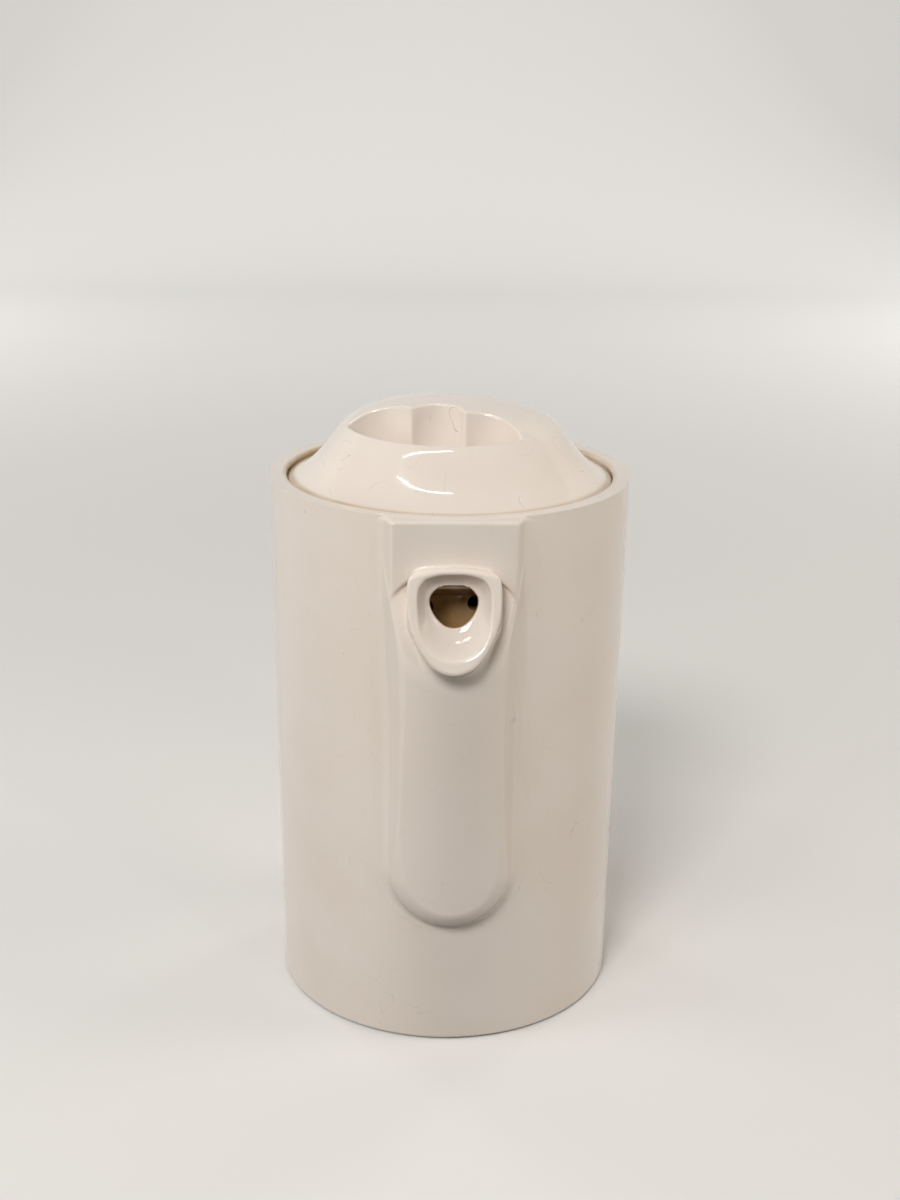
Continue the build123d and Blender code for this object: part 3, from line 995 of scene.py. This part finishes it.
@dataclass(frozen=True)
class Handle:
    """Loop handle swept along its path, flared where it is luted to the jacket."""

    path: Stops = ((56.0, 156.0), (97.0, 156.0), (92.0, 54.0), (56.0, 54.0))
    width: float = 22.0
    thickness: float = 12.5
    edge: float = 4.5
    bend: float = 20.0
    inset: float = 3.3
    flare: float = 0.13
    flare_reach: float = 16.0
    bend_points: int = 24
    path_points: int = 200
    edge_points: int = 10
    section_points: int = 88

    def sizes(self) -> dict[str, float]:
        """Names the inputs of the sweep.

        Returns:
            Its sizes in metres, and the flare as a share of the section.
        """
        return {
            "Width": self.width * MM,
            "Thickness": self.thickness * MM,
            "Edge": self.edge * MM,
            "Bend": self.bend * MM,
            "Inset": self.inset * MM,
            "Flare Reach": self.flare_reach * MM,
            "Flare": self.flare,
        }

    def sweep(self) -> bpy.types.NodeTree:
        """Builds the tree that turns the path's corners into the handle.

        Returns:
            The tree.
        """
        group = bpy.data.node_groups.new("handle_sweep", "GeometryNodeTree")
        sockets = {"Path": "NodeSocketGeometry", **dict.fromkeys(self.sizes(), "NodeSocketFloat")}
        for name, kind in {**sockets, "Glaze": "NodeSocketMaterial"}.items():
            group.interface.new_socket(name, in_out="INPUT", socket_type=kind)
        group.interface.new_socket("Handle", in_out="OUTPUT", socket_type="NodeSocketGeometry")
        tree = Tree(group)
        given = group.nodes.new("NodeGroupInput").outputs
        size = {name: Signal(tree, given[name]) for name in (*sockets, "Glaze")}
        line = tree.node("GeometryNodeMeshToCurve", {}, {"Mesh": size["Path"]})
        line = self.bent(tree, line, size["Bend"], self.bend_points, self.path_points)
        block = {"Width": size["Width"], "Height": size["Thickness"]}
        section = tree.node("GeometryNodeCurvePrimitiveQuadrilateral", {}, block)
        section = self.bent(tree, section, size["Edge"], self.edge_points, self.section_points)
        along = tree.node("GeometryNodeSplineParameter", {}, {}, "Length")
        whole = tree.node("GeometryNodeSplineLength", {}, {}, "Length")
        clear = along.least(whole - along) - size["Inset"]
        rise = (1.0 - clear * size["Flare Reach"] ** -1.0).most(0.0)
        swept = tree.node("GeometryNodeCurveToMesh", {}, {
            "Curve": line,
            "Profile Curve": section,
            "Scale": rise * rise * size["Flare"] + 1.0,
            "Fill Caps": True,
        })
        smooth = tree.node("GeometryNodeSetShadeSmooth", {}, {"Geometry": swept})
        solid = tree.node("GeometryNodeRealizeInstances", {}, {"Geometry": smooth})
        finish = {"Geometry": solid, "Material": size["Glaze"]}
        tree.close("NodeGroupOutput", "Handle", tree.node("GeometryNodeSetMaterial", {}, finish))
        return group

    def bent(self, tree: Tree, line: Signal, radius: Signal, bend: int, whole: int) -> Signal:
        """Rounds a line's corners and spaces its points evenly.

        Args:
            tree: The tree that the nodes go into.
            line: The line.
            radius: Radius of its corners.
            bend: Points in each corner.
            whole: Points along the finished line.

        Returns:
            The rounded line.
        """
        corner = {"Curve": line, "Radius": radius, "Count": bend}
        line = tree.node("GeometryNodeFilletCurve", {"mode": "POLY"}, corner)
        return tree.node("GeometryNodeResampleCurve", {}, {"Curve": line, "Count": whole})

    def build(self, glaze: bpy.types.Material) -> bpy.types.Object:
        """Meshes the handle and glazes it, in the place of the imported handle.

        Args:
            glaze: Its finish.

        Returns:
            The handle.
        """
        mesh = bpy.data.meshes.new("handle_glazed")
        corners = [(0.0, y * MM, z * MM) for y, z in self.path]
        mesh.from_pydata(corners, [(at, at + 1) for at in range(len(corners) - 1)], [])
        handle = put("handle_glazed", mesh)
        modifier = handle.modifiers.new("sweep", "NODES")
        modifier.node_group = self.sweep()
        inputs = {**self.sizes(), "Glaze": glaze}
        for item in modifier.node_group.interface.items_tree:
            if item.name in inputs:
                modifier[item.identifier] = inputs[item.name]
        depsgraph = bpy.context.evaluated_depsgraph_get()
        handle.data = bpy.data.meshes.new_from_object(handle.evaluated_get(depsgraph))
        handle.modifiers.clear()
        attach(handle, "pot")
        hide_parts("handle")
        return handle


@dataclass(frozen=True)
class Jacket:
    """Outer wall with its rim, seat and foot ring, shaped as it is imported."""

    finish: Glaze = Glaze("jacket_glaze", Wear.JACKET)

    def dress(self, nodes: Nodes) -> bpy.types.Material:
        """Glazes the wall.

        Args:
            nodes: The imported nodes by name.

        Returns:
            The glaze, which the handle takes as well.
        """
        glaze = self.finish.material()
        coat(nodes, glaze, "outer_jacket")
        return glaze


@dataclass(frozen=True)
class Vessel:
    """Liner with its strainer, and the sleeve that leads from it to the spout."""

    finish: Glaze = Glaze("vessel_glaze", Wear.VESSEL, roughness=0.12)

    def dress(self, nodes: Nodes) -> None:
        """Glazes liner and sleeve."""
        coat(nodes, self.finish.material(), "inner_vessel", "spout_sleeve")


@dataclass(frozen=True)
class Lid:
    """Lid with its dome, its underside and the ring that seals it."""

    finish: Glaze = Glaze("lid_glaze", Wear.LID, scratch_dirt=0.45)
    ring: Moulded = Moulded("silicone", (0.70, 0.66, 0.56), (0.62, 0.57, 0.46), 0.4)

    def dress(self, nodes: Nodes) -> None:
        """Glazes the shells and finishes the ring."""
        coat(nodes, self.finish.material(), "lid_shell", "lid_base")
        coat(nodes, self.ring.material(), "lid_seal")


@dataclass(frozen=True)
class Filling:
    """Foam between the walls of the pot and in the lid."""

    finish: Moulded = Moulded("foam", (0.85, 0.80, 0.62), (0.78, 0.72, 0.52))

    def dress(self, nodes: Nodes) -> None:
        """Finishes both foams."""
        coat(nodes, self.finish.material(), "insulation", "lid_insulation")


@dataclass(frozen=True)
class Base:
    """Disc that closes the jacket from below, and the plug in its vent."""

    disc: Moulded = Moulded("base_plastic", (0.74, 0.71, 0.63), (0.66, 0.62, 0.54), 0.45)
    plug: Moulded = Moulded("plug_rubber", (0.09, 0.085, 0.08), (0.06, 0.055, 0.05), 0.7)

    def dress(self, nodes: Nodes) -> None:
        """Finishes disc and plug."""
        coat(nodes, self.disc.material(), "base_disc")
        coat(nodes, self.plug.material(), "vent_plug")


@dataclass(frozen=True)
class Floor:
    """Floor that bends up into a backdrop, in metres. It lies a hair below the foot."""

    half: float = 5.0
    front: float = -5.0
    back: float = 1.6
    bend: float = 0.5
    height: float = 2.5
    steps: int = 16
    level: float = -0.0002
    finish: Paper = Paper()

    def build(self) -> None:
        """Lays the floor and stages it."""
        rail = [(self.front, self.level), (self.back, self.level)]
        for step in range(1, self.steps + 1):
            angle = math.pi / 2 * step / self.steps
            rise = self.bend * (1 - math.cos(angle))
            rail.append((self.back + self.bend * math.sin(angle), self.level + rise))
        rail.append((self.back + self.bend, self.height))
        points = [(side * self.half, y, z) for y, z in rail for side in (-1, 1)]
        faces = [(2 * i, 2 * i + 1, 2 * i + 3, 2 * i + 2) for i in range(len(rail) - 1)]
        mesh = bpy.data.meshes.new("floor")
        mesh.from_pydata(points, [], faces)
        mesh.shade_smooth()
        mesh.materials.append(self.finish.material())
        floor = put("floor", mesh)


@dataclass(frozen=True)
class Lamp:
    """Place, aim and size of a soft lamp in metres, its power and whether the glaze mirrors it."""

    name: str
    place: Point
    size: Span
    watts: float
    mirrored: bool = False
    tint: Colour = (1.0, 0.985, 0.965)
    aim: Point = (0.0, 0.0, 0.1)

    def build(self) -> None:
        """Hangs the lamp, out of the camera's sight."""
        data = bpy.data.lights.new(self.name, "AREA")
        data.shape = "RECTANGLE"
        data.size, data.size_y = self.size
        data.energy = self.watts
        data.color = self.tint
        lamp = put(self.name, data)
        facing = (Vector(self.aim) - Vector(self.place)).to_track_quat("-Z", "Y")
        lamp.matrix_world = Matrix.Translation(Vector(self.place)) @ facing.to_matrix().to_4x4()
        lamp.visible_camera = False
        lamp.visible_glossy = self.mirrored


@dataclass(frozen=True)
class Studio:
    """Camera at the photograph's place, floor, soft lamps and a dim sky.

    The camera's sizes are in millimetres, its angles in radians, and its heading is the
    horizontal direction that it looks in.
    """

    eye: Point = (-14.74, -548.88, 323.90)
    heading: Span = (0.0279, 0.9996)
    pitch: float = math.radians(18.857)
    roll: float = math.radians(0.716)
    focal_px: float = 1689.4
    photo_height_px: float = 1200.0
    sensor: float = 36.0
    nearest: float = 10.0
    ambient: Colour = (0.140, 0.135, 0.128)
    sky: Colour = (0.44, 0.435, 0.42)
    floor: Floor = Floor()
    lamps: tuple[Lamp, ...] = (
        Lamp("key", (-0.42, -1.22, 1.28), (0.45, 0.40), 15.0, True),
        Lamp("tube", (-0.40, -0.383, 1.39), (0.84, 0.020), 2.4, True, aim=(-0.40, -0.383, 0.0)),
        Lamp("left window", (-0.85, -1.00, 0.95), (0.30, 0.45), 2.4, True),
        Lamp("right window", (0.75, -1.05, 0.75), (0.05, 0.9), 1.2, True),
        Lamp("left", (-1.30, -0.15, 0.45), (0.6, 0.6), 5.0),
        Lamp("right", (1.35, -0.05, 0.45), (0.6, 0.6), 8.5, tint=(1.0, 0.94, 0.86)),
        Lamp("back", (0.2, 1.0, 1.2), (1.2, 0.6), 1.4),
        Lamp("rear left", (-1.25, 1.35, 0.50), (0.5, 0.5), 9.0),
        Lamp("rear right", (1.25, 1.35, 0.50), (0.5, 0.5), 9.0),
    )

    def camera(self) -> None:
        """Creates the camera and makes it the scene's."""
        level = math.cos(self.pitch)
        forward = Vector((self.heading[0] * level, self.heading[1] * level, -math.sin(self.pitch)))
        right = forward.cross(Vector((0, 0, 1))).normalized()
        up = right.cross(forward)
        rolled_right = right * math.cos(self.roll) + up * math.sin(self.roll)
        rolled_up = up * math.cos(self.roll) - right * math.sin(self.roll)
        data = bpy.data.cameras.new("camera")
        data.sensor_width = self.sensor
        data.lens = self.focal_px * self.sensor / self.photo_height_px
        data.clip_start = self.nearest * MM
        camera = put("camera", data)
        basis = Matrix((rolled_right, rolled_up, -forward)).transposed().to_4x4()
        camera.matrix_world = Matrix.Translation(Vector(self.eye) * MM) @ basis
        bpy.context.scene.camera = camera

    def world(self) -> None:
        """Gives the scene a dim ambient light and a lighter sky where the camera sees it."""
        world = bpy.data.worlds.new("studio")
        world.use_nodes = True
        tree = Tree(world.node_tree)
        shade = tree.blend(tree.ray("Camera"), self.ambient, self.sky)
        background = tree.node("ShaderNodeBackground", {}, {"Color": shade})
        tree.close("ShaderNodeOutputWorld", "Surface", background)
        bpy.context.scene.world = world

    def build(self) -> None:
        """Sets up camera, floor, lamps and world."""
        self.camera()
        self.floor.build()
        for lamp in self.lamps:
            lamp.build()
        self.world()
        bpy.context.scene.view_settings.view_transform = "Standard"


def main() -> None:
    """Builds the scene in order and reports each piece."""
    logging.basicConfig(level=logging.INFO, format="%(message)s")
    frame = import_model()
    nodes = frame["nodes"]
    Studio().build()
    jacket_glaze = Jacket().dress(nodes)
    for made in (Handle().build(jacket_glaze), Spout().build()):
        log.info("%s has %d faces", made.name, len(made.data.polygons))
    for part in (Vessel(), Lid(), Filling(), Base()):
        part.dress(nodes)


if __name__ == "__main__":
    main()
